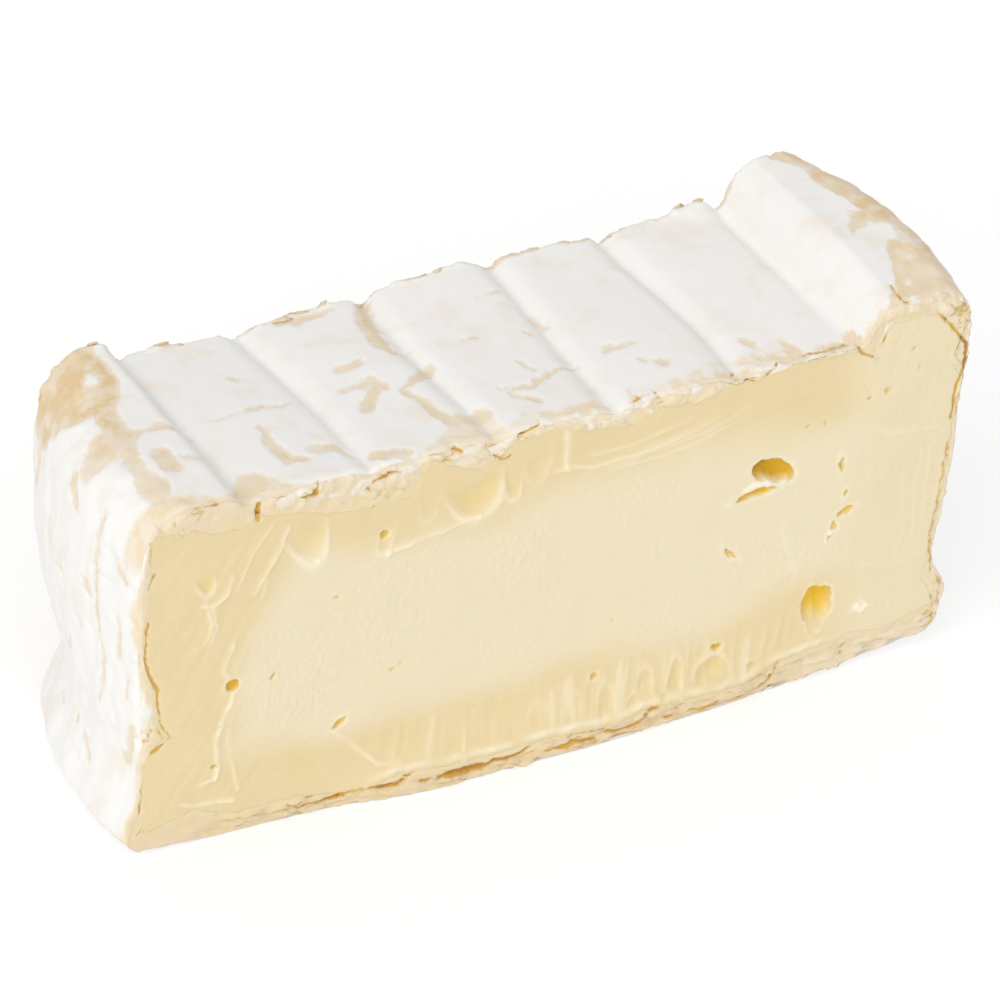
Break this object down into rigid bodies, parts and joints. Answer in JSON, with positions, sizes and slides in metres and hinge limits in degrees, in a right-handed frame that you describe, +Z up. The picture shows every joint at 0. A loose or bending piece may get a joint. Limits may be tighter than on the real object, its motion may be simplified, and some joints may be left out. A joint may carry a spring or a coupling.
{
  "type": "cut slab of white-rinded cheese",
  "caption": "Thick slab cut across a tall soft cheese wheel: white bloomy rind on the grooved top, base and rounded ends, and cream paste with eyes on both cut faces.",
  "frame": {"origin": "middle of the bounding box on the base plane", "axes": "+X along the slab towards the end with the higher rim, -Y out of the front cut face, +Z up from the base"},
  "size_m": [0.1932, 0.0636, 0.0898],
  "materials": {
    "paste": "soft cream cheese paste, faintly glossy where the knife smeared it",
    "rind": "matt white bloomy rind, velvety, rubbed tan on the rims",
    "crumb": "dry beige rind flakes and crumbs along the cut edges"
  },
  "bodies": {
    "root": {"brie_slab": "paste"}
  },
  "joints": []
}
